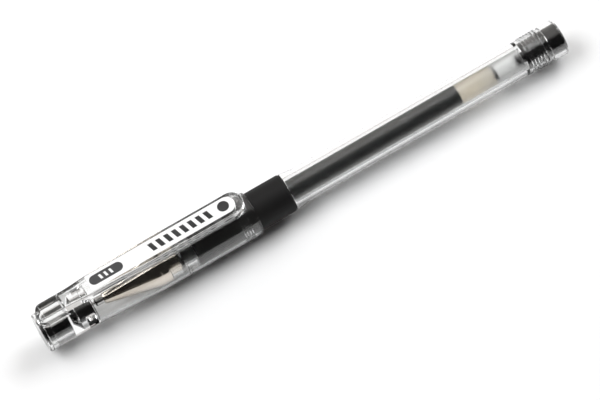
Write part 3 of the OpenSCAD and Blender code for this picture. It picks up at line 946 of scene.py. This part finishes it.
# %% Barrel
outline = tidy(section("barrel"))
tail_end = span("barrel")[1]
RIB_BASE, RIBS_FROM, RIBS_TO = 4.25, 9.45, 4.65
outline, ribs = smooth_run(outline, tail_end - RIBS_FROM, tail_end - RIBS_TO, RIB_BASE)
points = soften(tidy(outline), CLEAR_ROUND)
points = fine_steps(points, tail_end - 9.5, tail_end - 4.6, RIB_BASE)
barrel = turned("barrel_moulding", points)
raise_ridges(barrel, ribs, RIB_BASE, material=clear_styrene)
dress(barrel, clear_styrene, "barrel")
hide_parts("barrel")

# %% [markdown]
# The cone is turned from brass and plated. Its shank carries a real thread, hidden in the
# barrel's mouth but seen through the clear wall, and the thread is one long helix. A ring for
# each turn would look the same from afar, but the helix costs nothing with the ridge tree.

# %% Front cone
THREAD_ROOT = 3.47
outline, thread = smooth_run(tidy(section("front_cone")), 33.25, 35.9, THREAD_ROOT)
points = fine_steps(soften(tidy(outline), 0.08), 33.1, 35.95, THREAD_ROOT)
cone = turned("front_cone_turned", points)
raise_ridges(cone, thread, THREAD_ROOT, turns=1.0, material=nickel_plate)
dress(cone, nickel_plate, "cone")
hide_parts("front_cone")

# %% [markdown]
# The grip is a rubber sleeve. The tail plug closes the barrel, and its pin reaches into the
# refill's tail. Both are turned from their CAD outlines with soft edges.

# %% Grip and tail plug
grip = turned("grip_sleeve", soften(tidy(section("grip")), 0.1))
dress(grip, black_rubber, "barrel")
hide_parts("grip")
tail_plug = turned("tail_plug_moulding", soften(tidy(section("tail_plug")), 0.1))
dress(tail_plug, black_abs, "barrel")
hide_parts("tail_plug")

# %% [markdown]
# ## The refill
# A milky tube holds the ink. Wet ink and grease touch its wall, so no air gap may be left there:
# in clear plastic, an air gap hides the colour behind a mirror-like skin. Each filling is drawn a
# hundredth of a millimetre into the wall instead. The grease is a cream plug that follows the ink
# down the tube, and a small grey float rides in it.

# %% Tube, joint, tip holder and needle
WET = 0.01
tube_bore = min(r for r, x in section("refill_tube"))
refill_pieces = (("refill_tube", milky_tube, "tube_plastic", 0.06),
                 ("refill_joint", natural_joint, "joint_plastic", 0.08),
                 ("tip_holder", drawn_steel, "polished_metal", 0.04),
                 ("needle", drawn_steel, "needle_steel", 0.01))
for node, material, slot, corner in refill_pieces:
    made = turned(node + "_piece", soften(tidy(section(node)), corner), 96)
    dress(made, material, "refill")
    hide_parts(node)

# %% Ink, grease and float
def filling(name, node, radius, material, body, corner=0.04):
    """A solid turned filling between the stations of its node."""
    start, end = span(node)
    outline = [(0.0, end), (radius, end), (radius, start), (0.0, start)]
    made = turned(name, soften(outline, corner), 96)
    dress(made, material, body)
    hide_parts(node)
    return made


ink = filling("ink_column", "ink", tube_bore + WET, wet_ink, "refill")
grease = filling("grease_plug", "follower_grease", tube_bore + WET, cream_grease, "follower")
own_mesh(ink)
float_piece = turned("float_piece", soften(tidy(section("follower_float")), 0.06), 96)
dress(float_piece, grey_float, "follower")
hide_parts("follower_float")

# %% [markdown]
# The ball that lays the ink down turns in the end of the needle. It is a ground sphere of hard
# carbide, as smooth as any piece can be made, so there is no rounding or ridge to add to its
# shape. The CAD ball is kept as it is, and only its finish is set.

# %% Writing ball keeps its CAD shape
ball = frame["nodes"]["writing_ball"]
ball.data.materials.clear()
ball.data.materials.append(hard_carbide)

# %% [markdown]
# ## Floor, light and camera
# The pen lies on a plain pale sheet under two soft panels, one past each end and a little
# behind it. The gap between them keeps a hard white line off the barrel. The room in front
# stays dim, because clear plastic and plated metal are drawn by what they reflect and bend:
# bright rims where they see the panel, dark bands where they see the dim side of the room.

# %% Pale floor
def pale_floor():
    """A large plain sheet with a faint tooth."""
    bm = bmesh.new()
    bmesh.ops.create_grid(bm, x_segments=4, y_segments=4, size=1.5)
    mesh = bpy.data.meshes.new("floor")
    bm.to_mesh(mesh)
    bm.free()
    piece = bpy.data.objects.new("floor", mesh)
    bpy.context.scene.collection.objects.link(piece)
    piece.data.materials.append(pale_sheet)
    return piece


pale_sheet = finish("pale_sheet", (0.93, 0.93, 0.93), (0.925, 0.925, 0.925), (0.93, 0.93, 0.93), 0.75,
                    scratches=0.0, smudges=0.02, wear=0.0, bump=0.02, IOR=1.4)
floor = pale_floor()


# %% Lights
PANEL_POWER = 4.6
DIM_SIDE, LIT_SIDE = 0.02, 0.64


def soft_light(name, place, target, size, power, colour=(0.985, 1.0, 1.015)):
    """A rectangular area light at place that looks at target, in metres and watts."""
    light = bpy.data.lights.new(name, "AREA")
    light.shape = "RECTANGLE"
    light.size, light.size_y = size
    light.energy = power
    light.color = colour
    made = bpy.data.objects.new(name, light)
    made.location = place
    made.rotation_euler = (Vector(target) - Vector(place)).to_track_quat("-Z", "Y").to_euler()
    bpy.context.scene.collection.objects.link(made)
    return made


scene = bpy.context.scene
PANEL_SIZE, TAIL_SHARE = (0.7, 0.42), 1.2
soft_light("crown_end_panel", (-0.45, 0.18, 0.75), (0, 0, 0), PANEL_SIZE, PANEL_POWER)
soft_light("tail_end_panel", (0.72, 0.18, 0.7), (0, 0, 0), PANEL_SIZE, PANEL_POWER * TAIL_SHARE)


def dim_room():
    """A plain grey room, dim in front of the pen and lighter above and behind it."""
    made = bpy.data.worlds.new("dim_room")
    made.use_nodes = True
    tree = made.node_tree
    around = tree.nodes.new("ShaderNodeTexCoord").outputs["Generated"]
    way = add(tree, "ShaderNodeSeparateXYZ", {0: around}).outputs
    flat = calc(tree, "SQRT", calc(tree, "ADD", calc(tree, "MULTIPLY", way["Y"], way["Y"]),
                                   calc(tree, "MULTIPLY", way["Z"], way["Z"])))
    back = ramp_up(tree, calc(tree, "DIVIDE", way["Y"], flat), -0.44, 0.02)
    level = calc(tree, "ADD", calc(tree, "MULTIPLY", back, LIT_SIDE - DIM_SIDE), DIM_SIDE)
    tree.links.new(level, tree.nodes["Background"].inputs["Strength"])
    tree.nodes["Background"].inputs["Color"].default_value = (1.0, 0.965, 0.935, 1)
    return made


scene.world = dim_room()

# %% Camera
AIM = spot(67.307, -3.502)
AZIMUTH, ELEVATION, ROLL = map(math.radians, (-15.19, 58.09, -16.88))
toward = Vector((math.sin(AZIMUTH) * math.cos(ELEVATION),
                 -math.cos(AZIMUTH) * math.cos(ELEVATION), math.sin(ELEVATION)))
right = (-toward).cross(Vector((0, 0, 1))).normalized()
up = right.cross(-toward)
turned_right = math.cos(ROLL) * right + math.sin(ROLL) * up
turned_up = -math.sin(ROLL) * right + math.cos(ROLL) * up
camera_data = bpy.data.cameras.new("camera")
camera_data.lens, camera_data.sensor_width = 259.4, 36.0
camera = bpy.data.objects.new("camera", camera_data)
axes = Matrix((turned_right, turned_up, toward)).transposed()
camera.matrix_world = Matrix.Translation(AIM + toward * 1.0) @ axes.to_4x4()
scene.collection.objects.link(camera)
scene.camera = camera

# %% [markdown]
# Light passes up to a dozen clear walls on its way through the capped pen, so it needs more
# bounces than usual, and the plain view transform keeps the pale floor pale.

# %% Light paths and view transform
scene.cycles.max_bounces = 32
scene.cycles.transmission_bounces = 28
scene.cycles.transparent_max_bounces = 24
scene.view_settings.view_transform = "Standard"
